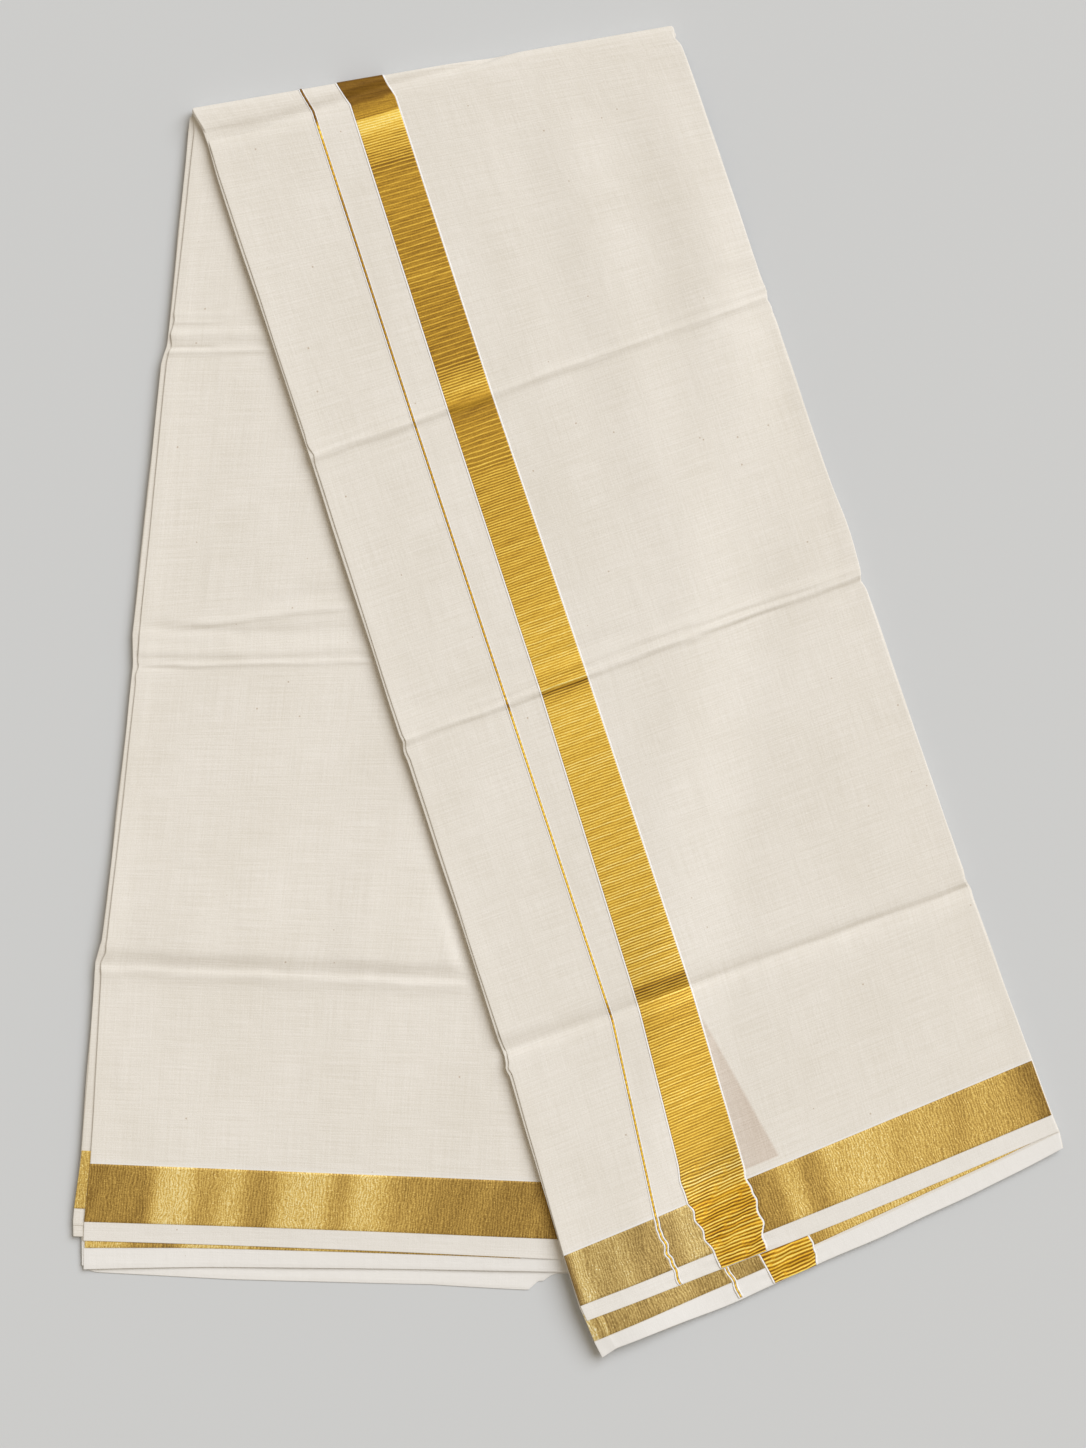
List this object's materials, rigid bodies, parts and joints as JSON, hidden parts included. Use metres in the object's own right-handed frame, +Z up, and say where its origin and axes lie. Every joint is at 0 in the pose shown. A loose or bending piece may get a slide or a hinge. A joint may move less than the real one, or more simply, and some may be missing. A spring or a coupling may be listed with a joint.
{
  "type": "folded dhoti cloth",
  "caption": "Folded cotton dhoti with woven gold borders and a ribbed gold end band, doubled over a slanted top fold so that its legs spread apart, lying flat.",
  "frame": {"origin": "middle of the footprint on the surface that the cloth lies on", "axes": "+Z up off the surface; +Y along the cloth, from the hems to the top fold; +X to the right, where the front leg lies"},
  "size_m": [0.5132, 0.6888, 0.0113],
  "materials": {
    "cream_cotton": "matt plain weave, unbleached, ironed",
    "gold_thread": "satin, woven of metal-wrapped thread"
  },
  "bodies": {
    "root": {"back_hidden_plies": "cream_cotton", "back_face": "cream_cotton", "front_hidden_plies": "cream_cotton", "front_face": "cream_cotton", "back_border": "gold_thread", "back_folded_edge_border": "gold_thread", "front_thread_line": "gold_thread", "front_end_band": "gold_thread", "front_border_left": "gold_thread", "front_border_middle": "gold_thread", "front_border_right": "gold_thread", "front_second_border_left": "gold_thread", "front_second_thread_line": "gold_thread", "front_second_border_middle": "gold_thread", "front_second_end_band": "gold_thread", "front_second_border_right": "gold_thread"}
  },
  "joints": []
}
